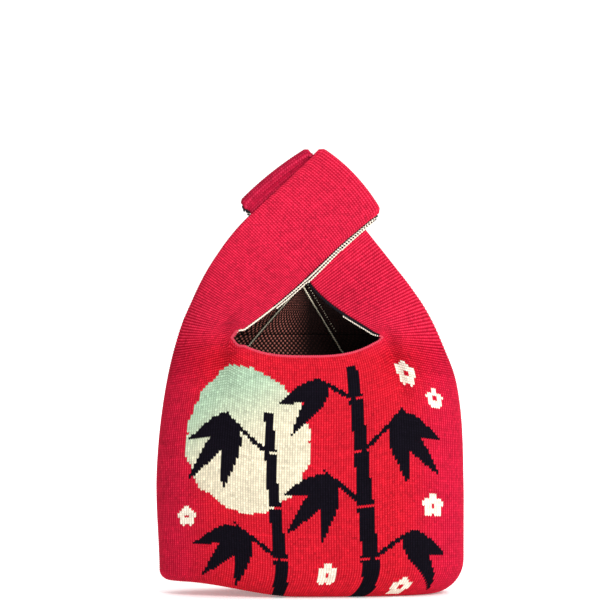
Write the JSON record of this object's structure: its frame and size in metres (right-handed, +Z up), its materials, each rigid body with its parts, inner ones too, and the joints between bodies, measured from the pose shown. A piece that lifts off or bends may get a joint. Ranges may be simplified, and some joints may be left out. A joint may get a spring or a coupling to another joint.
{
  "type": "knot bag",
  "caption": "Knitted wrist bag: a soft rounded pouch with strap loops, one drawn through the other above the open mouth to close it.",
  "frame": {"origin": "on the floor under the middle of the pouch", "axes": "+Z up, front of the bag towards -Y, +X to the right of a viewer who faces the front"},
  "size_m": [0.2313, 0.088, 0.3348],
  "materials": {
    "panel_knit": "matte jacquard knit, red with black, cream and pale green figures",
    "strap_knit": "matte plain red knit",
    "rolled_edge": "matte rolled red knit edge",
    "overlock": "matte cream overlock stitching",
    "selvedge": "matte cream and black selvedge",
    "link_yarn": "matte black linking yarn"
  },
  "bodies": {
    "bag": {"front_panel": "panel_knit", "back_panel": "panel_knit", "left_side_seam": "overlock", "right_side_seam": "overlock", "base_seam": "overlock", "left_back_seam": "overlock", "right_back_seam": "overlock", "front_mouth_edging": "rolled_edge"},
    "knot": {"back_yoke": "panel_knit", "back_mouth_edging": "selvedge", "left_strap_front": "strap_knit", "left_strap_back": "strap_knit", "left_strap_top_seam": "link_yarn", "left_strap_front_edging": "selvedge", "left_strap_back_edging": "selvedge", "right_strap_front": "strap_knit", "right_strap_back": "strap_knit", "right_strap_front_edging": "selvedge", "right_strap_back_edging": "selvedge"},
    "pull_loop": {"pull_loop_front": "strap_knit", "pull_loop_back": "strap_knit", "pull_loop_top_seam": "link_yarn", "pull_loop_front_edging": "selvedge", "pull_loop_back_edging": "selvedge"}
  },
  "joints": [
    {"name": "knot_nod", "type": "hinge", "parent": "bag", "child": "knot", "pos_m": [0, 0, 0.235], "axis": [1, 0, 0], "range_deg": [-70, 70]},
    {"name": "loop_pull", "type": "slide", "parent": "knot", "child": "pull_loop", "axis": [-0.6212, 0, 0.7837], "range_m": [0, 0.03]}
  ]
}
